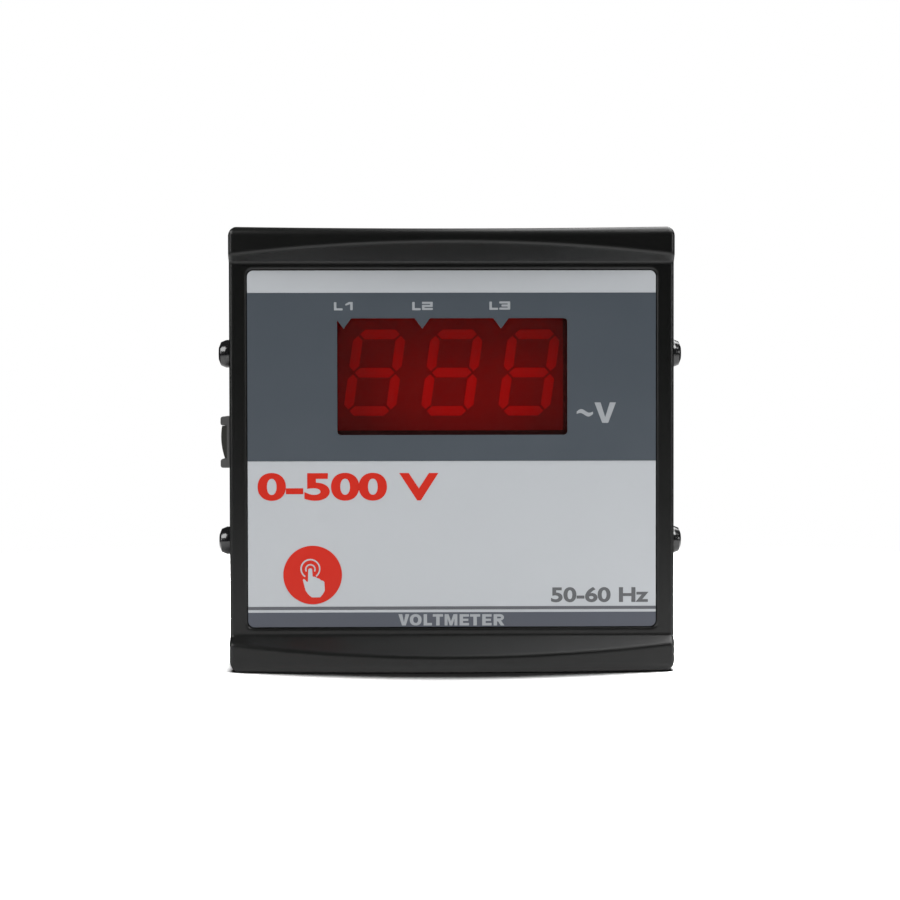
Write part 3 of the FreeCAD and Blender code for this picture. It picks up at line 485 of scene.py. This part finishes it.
def ring_loop(cx, cz, rx, rz, power, steps=40):
    """Closed oval about a centre; a power over 2 squares it."""
    loop = []
    for i in range(steps):
        angle = 2 * math.pi * i / steps
        across, upward = math.cos(angle), math.sin(angle)
        loop.append((cx + rx * math.copysign(abs(across) ** (2 / power), across),
                     cz + rz * math.copysign(abs(upward) ** (2 / power), upward)))
    return loop


def half_oval(cx, cz, rx, rz, steps=12):
    """Right half of an oval, from its top to its foot."""
    angles = [math.pi / 2 - math.pi * i / steps for i in range(steps + 1)]
    return [(cx + rx * math.cos(angle), cz + rz * math.sin(angle)) for angle in angles]


def arc_band(cx, cz, radius, width, start_deg, end_deg, steps=36):
    """Open ring of an even width with square ends, as one closed loop."""
    outer, inner = [], []
    for i in range(steps + 1):
        angle = math.radians(start_deg + (end_deg - start_deg) * i / steps)
        across, upward = math.cos(angle), math.sin(angle)
        outer.append((cx + (radius + width / 2) * across, cz + (radius + width / 2) * upward))
        inner.append((cx + (radius - width / 2) * across, cz + (radius - width / 2) * upward))
    return outer + inner[::-1]


# Letters: each stands in a box w wide and h high; upright strokes are t wide, level strokes s high

def letter_v(w, h, t, s):
    arm, foot = t * 1.12, t * 0.55
    return [[(0, h), (arm, h), (w / 2, h * 0.27), (w - arm, h), (w, h), (w / 2 + foot, 0), (w / 2 - foot, 0)]]


def letter_l(w, h, t, s):
    return [[(0, 0), (w, 0), (w, s), (t, s), (t, h), (0, h)]]


def letter_t(w, h, t, s):
    left, right = w / 2 - t / 2, w / 2 + t / 2
    return [[(left, 0), (right, 0), (right, h - s), (w, h - s), (w, h), (0, h), (0, h - s), (left, h - s)]]


def letter_e(w, h, t, s):
    arm, low, high = w * 0.93, h / 2 - s * 0.45, h / 2 + s * 0.45
    return [[(0, 0), (w, 0), (w, s), (t, s), (t, low), (arm, low), (arm, high), (t, high), (t, h - s),
             (w, h - s), (w, h), (0, h)]]


def letter_m(w, h, t, s):
    post, shoulder, foot = t * 0.85, t * 1.15, t * 0.38
    return [[(0, 0), (post, 0), (post, h * 0.62), (w / 2 - foot, 0), (w / 2 + foot, 0), (w - post, h * 0.62),
             (w - post, 0), (w, 0), (w, h), (w - shoulder, h), (w / 2, h * 0.36), (shoulder, h), (0, h)]]


def letter_o(w, h, t, s):
    return [ring_loop(w / 2, h / 2, w / 2, h / 2, 2.3), ring_loop(w / 2, h / 2, w / 2 - t, h / 2 - s, 2.2)]


def letter_r(w, h, t, s):
    bowl = h * 0.56
    low, high = h - bowl + s * 0.85, h - s
    round_side = half_oval(w * 0.62, h - bowl / 2, w * 0.36, bowl / 2)[:-1]
    leg = [(0, 0), (t, 0), (t, h * 0.36), (w * 0.42, h * 0.36), (w * 0.68, 0), (w * 1.02, 0),
           (w * 0.70, h - bowl)]
    hole = half_oval(w * 0.58, (low + high) / 2, w * 0.12, (high - low) / 2)
    return [leg + round_side[::-1] + [(0, h)], [(t, high)] + hole + [(t, low)]]


def figure_1(w, h, t, s):
    return [[(w - t, 0), (w, 0), (w, h), (w - t * 1.5, h), (w * 0.14, h * 0.74), (w * 0.14, h * 0.58),
             (w * 0.30, h * 0.58), (w - t, h * 0.76)]]


def figure_2(w, h, t, s):
    low, high = h / 2 - s / 2, h / 2 + s / 2
    return [[(0, h), (w, h), (w, low), (t, low), (t, s), (w, s), (w, 0), (0, 0), (0, high), (w - t, high),
             (w - t, h - s), (0, h - s)]]


def figure_3(w, h, t, s):
    low, high = h / 2 - s / 2, h / 2 + s / 2
    return [[(0, h), (w, h), (w, 0), (0, 0), (0, s), (w - t, s), (w - t, low), (w * 0.2, low),
             (w * 0.2, high), (w - t, high), (w - t, h - s), (0, h - s)]]


LETTERS = {
    "V": letter_v, "L": letter_l, "T": letter_t, "E": letter_e, "M": letter_m, "O": letter_o, "R": letter_r,
    "1": figure_1, "2": figure_2, "3": figure_3,
}
CURVED_FROM = 20


def write(name, boxes, material, y, stroke, level, radius):
    """Letters, each in a box of pixels; a loop of many points is curved already and isn't rounded."""
    loops = []
    for char, (left, top, right, bottom) in boxes:
        x0, z1 = on_plane(left, top, y)
        x1, z0 = on_plane(right, bottom, y)
        for loop in LETTERS[char](x1 - x0, z1 - z0, stroke, level):
            placed = [(x0 + x, z0 + z) for x, z in loop]
            loops.append(rounded_loop(placed, radius) if len(placed) < CURVED_FROM else placed)
    outline_piece(name, loops, material, y)


# Lettering on the film: depths in millimetres, boxes in pixels (left, top, right, bottom) of the photograph

FILM_Y = -6.21
BAND_Y = -6.26
PHASE_PX = [
    ("L", (333.9, 302.2, 342.6, 310.4)), ("1", (344.0, 302.0, 352.7, 310.2)),
    ("L", (412.2, 302.0, 420.6, 310.2)), ("2", (422.0, 301.8, 432.7, 310.0)),
    ("L", (489.4, 301.6, 498.0, 309.8)), ("3", (499.3, 301.4, 510.2, 309.6)),
]
VOLT_PX = [("V", (594.5, 402.4, 615.9, 422.8))]
WAVE_PX = (576.7, 409.0, 593.0, 416.6)
WAVE_SWING = 0.23
WAVE_THICK = 0.58
WAVE_ENDS = 0.55
NAME_TOP_PX = 614.2
NAME_BOTTOM_PX = 625.4
NAME_SIDES_PX = [
    ("V", 398.4, 409.4), ("O", 409.8, 421.6), ("L", 423.6, 432.0), ("T", 432.8, 443.0), ("M", 444.6, 457.4),
    ("E", 459.6, 469.0), ("T", 470.0, 480.2), ("E", 482.2, 491.6), ("R", 493.6, 504.2),
]
NAME_PX = [(char, (left, NAME_TOP_PX, right, NAME_BOTTOM_PX)) for char, left, right in NAME_SIDES_PX]
RANGE_PX = (257.5, 473.0, 438.5, 500.5)
SUPPLY_PX = (551.0, 587.0, 648.5, 602.0)


def wave_sign(steps=24):
    """The sign for alternating current: a band along a wave, its sizes shares of the box's height."""
    left, top, right, bottom = WAVE_PX
    x0, z1 = on_plane(left, top, BAND_Y)
    x1, z0 = on_plane(right, bottom, BAND_Y)
    middle = (z0 + z1) / 2
    swing = (z1 - z0) * WAVE_SWING
    thick = (z1 - z0) * WAVE_THICK
    upper, lower = [], []
    for i in range(steps + 1):
        share = i / steps
        x = x0 + (x1 - x0) * share
        z = middle + swing * math.sin(2 * math.pi * share)
        half = thick / 2 * (WAVE_ENDS + (1 - WAVE_ENDS) * math.sin(math.pi * share))
        upper.append((x, z + half))
        lower.append((x, z - half))
    outline_piece("wave_sign", [upper + lower[::-1]], "light_print", BAND_Y)


write("phase_letters", PHASE_PX, "light_print", BAND_Y, stroke=0.40, level=0.33, radius=0.10)
write("volt_letter", VOLT_PX, "light_print", BAND_Y, stroke=0.88, level=0.6, radius=0.03)
wave_sign()
write("foot_letters", NAME_PX, "light_print", BAND_Y, stroke=0.56, level=0.40, radius=0.03)
text_piece("range_figures", "0-500 V", RANGE_PX, "red_print", FILM_Y, bolden=0.035)
text_piece("supply_figures", "50-60 Hz", SUPPLY_PX, "grey_print", FILM_Y, bolden=0.03)


# Key icon: a pointing hand under two open rings

RINGS_PX = (310.4, 568.9)
OUTER_RING_PX = (9.3, 1.4)
INNER_RING_PX = (4.6, 1.3)
INNER_DROP_PX = 0.4
OUTER_ARC_DEG = (-52, 236)
INNER_ARC_DEG = (-28, 208)
HAND_PX = [
    (308.2, 569.6), (309.2, 568.4), (311.2, 568.4), (312.2, 569.6), (312.6, 576.6), (315.4, 577.0),
    (317.4, 578.2), (319.6, 578.8), (320.6, 580.2), (323.0, 580.8), (324.4, 582.0), (324.8, 590.6),
    (323.2, 593.6), (320.2, 597.4), (311.8, 597.4), (308.4, 594.6), (305.6, 590.6), (304.4, 586.0),
    (302.8, 579.8), (303.6, 578.8), (305.2, 579.8), (306.8, 582.0), (308.0, 581.6),
]
HAND_ROUNDING = 0.12


def key_icon():
    across, down = RINGS_PX
    cx, cz = on_plane(across, down, BAND_Y)
    pixel = on_plane(across + 1.0, down, BAND_Y)[0] - cx
    radius, width = (size * pixel for size in OUTER_RING_PX)
    outer_ring = arc_band(cx, cz, radius, width, *OUTER_ARC_DEG)
    radius, width = (size * pixel for size in INNER_RING_PX)
    inner_ring = arc_band(cx, cz - INNER_DROP_PX * pixel, radius, width, *INNER_ARC_DEG)
    hand = rounded_loop([on_plane(px, py, BAND_Y) for px, py in HAND_PX], HAND_ROUNDING)
    outline_piece("key_icon", [outer_ring, inner_ring, hand], "film", BAND_Y)


key_icon()


# Floor: white for the camera, with a contact shadow in front of the bezel; it fades out to the ground's white

FLOOR_RADIUS = 3.0
FLOOR_SEGMENTS = 96
FLOOR_PLAIN = 0.92
FLOOR_SHOWN = 1.9
FLOOR_BEHIND = 8.0
SHOWN_FADE = (0.14, 0.30)
PLAIN_FADE = (0.13, 0.32)
CONTACT_COLOR = 0.02
CONTACT_REACH = 0.016
CONTACT_SAMPLES = 24
CONTACT_DARK = 0.82
CONTACT_CLEAR = 1.03
CONTACT_THIN = 280.0
BEHIND_FROM = 0.002
BEHIND_TO = 0.020
BESIDE_FROM_SQUARED = 0.00128
BESIDE_TO_SQUARED = 0.00170


def shown_floor_color(tree, place):
    """Dark where the bezel is close above, but not behind or beside it; a brighter white there."""
    sideways = calculate(tree, "MULTIPLY", place["X"], place["X"])
    close = tree.nodes.new("ShaderNodeAmbientOcclusion")
    close.samples = CONTACT_SAMPLES
    close.inputs["Distance"].default_value = CONTACT_REACH
    openness = calculate(tree, "MULTIPLY_ADD", sideways, CONTACT_THIN, close.outputs["AO"])
    clear = spread_over(tree, openness, CONTACT_DARK, CONTACT_CLEAR, 0.0, 1.0)
    front = blend_colors(tree, clear, grey(CONTACT_COLOR), grey(FLOOR_SHOWN))
    behind = spread_over(tree, place["Y"], BEHIND_FROM, BEHIND_TO, 0.0, 1.0)
    beside = spread_over(tree, sideways, BESIDE_FROM_SQUARED, BESIDE_TO_SQUARED, 0.0, 1.0)
    apart = calculate(tree, "MAXIMUM", behind, beside)
    return blend_colors(tree, apart, front, grey(FLOOR_BEHIND))


def floor_material():
    """One white for camera rays and a plain one for the light; both turn clear away from the object."""
    material, tree, output = empty_material("m_floor")
    place, where = own_place(tree)
    plain = tree.nodes.new("ShaderNodeBsdfDiffuse")
    plain.inputs["Color"].default_value = (*grey(FLOOR_PLAIN), 1.0)
    shown = tree.nodes.new("ShaderNodeBsdfDiffuse")
    tree.links.new(shown_floor_color(tree, place), shown.inputs["Color"])
    clear = tree.nodes.new("ShaderNodeBsdfTransparent")
    distance = tree.nodes.new("ShaderNodeVectorMath")
    distance.operation = "LENGTH"
    tree.links.new(where, distance.inputs[0])
    sides = []
    for surface, fade in ((plain, PLAIN_FADE), (shown, SHOWN_FADE)):
        faded = spread_over(tree, distance.outputs["Value"], *fade, 0.0, 1.0)
        sides.append(blend_shaders(tree, faded, surface.outputs["BSDF"], clear.outputs["BSDF"]))
    path = tree.nodes.new("ShaderNodeLightPath")
    tree.links.new(blend_shaders(tree, path.outputs["Is Camera Ray"], *sides), output.inputs["Surface"])
    return material


def make_floor():
    mesh = bpy.data.meshes.new("studio_floor")
    build = bmesh.new()
    bmesh.ops.create_circle(build, cap_ends=True, segments=FLOOR_SEGMENTS, radius=FLOOR_RADIUS)
    build.to_mesh(mesh)
    build.free()
    mesh.materials.append(floor_material())
    floor = bpy.data.objects.new("studio_floor", mesh)
    bpy.context.scene.collection.objects.link(floor)
    floor.location = (0.0, 0.0, cad_box[0].z)


# Surround: white for the camera, a faint light from above for the rest

WORLD_UP = 0.06


def make_world():
    world = bpy.data.worlds.new("studio_world")
    bpy.context.scene.world = world
    world.use_nodes = True
    tree = world.node_tree
    tree.nodes.clear()
    output = tree.nodes.new("ShaderNodeOutputWorld")
    path = tree.nodes.new("ShaderNodeLightPath")
    where = tree.nodes.new("ShaderNodeTexCoord")
    split = tree.nodes.new("ShaderNodeSeparateXYZ")
    tree.links.new(where.outputs["Generated"], split.inputs["Vector"])
    upward = spread_over(tree, split.outputs["Z"], 0.0, 1.0, 0.0, WORLD_UP)
    room = tree.nodes.new("ShaderNodeBackground")
    white = tree.nodes.new("ShaderNodeBackground")
    for background in (room, white):
        background.inputs["Color"].default_value = (*grey(1.0), 1.0)
        background.inputs["Strength"].default_value = 1.0
    tree.links.new(upward, room.inputs["Strength"])
    surround = blend_shaders(tree, path.outputs["Is Camera Ray"], room.outputs["Background"],
                             white.outputs["Background"])
    tree.links.new(surround, output.inputs["Surface"])


# Lamps: name, place, aim, width and height in metres, and power in watts
LAMPS = [
    ("top_box", (0.27, 0.13, 0.78), (0.27, 0.10, 0.0), 0.5, 0.6, 3.6),
    ("key_box", (0.50, -0.40, 0.70), (0.0, 0.0, 0.0), 0.4, 0.4, 4.4),
    ("left_fill", (-0.60, -0.42, 0.50), (0.0, 0.0, 0.0), 0.5, 0.5, 4.5),
    ("back_high", (0.30, 0.45, 0.60), (0.0, 0.0, 0.02), 0.5, 0.3, 2.0),
    ("right_side", (0.85, -0.35, 0.12), (0.0, 0.0, 0.0), 0.3, 0.2, 1.0),
    ("left_side", (-0.85, -0.35, 0.12), (0.0, 0.0, 0.0), 0.3, 0.2, 1.0),
]


def softbox(name, place, aim, width, height, power):
    data = bpy.data.lights.new(name, "AREA")
    data.shape = "RECTANGLE"
    data.size = width
    data.size_y = height
    data.energy = power
    lamp = bpy.data.objects.new(name, data)
    bpy.context.scene.collection.objects.link(lamp)
    lamp.location = place
    lamp.rotation_mode = "QUATERNION"
    lamp.rotation_quaternion = (Vector(aim) - Vector(place)).to_track_quat("-Z", "Y")


make_floor()
make_world()
for lamp in LAMPS:
    softbox(*lamp)

bpy.context.scene.view_settings.view_transform = "Standard"
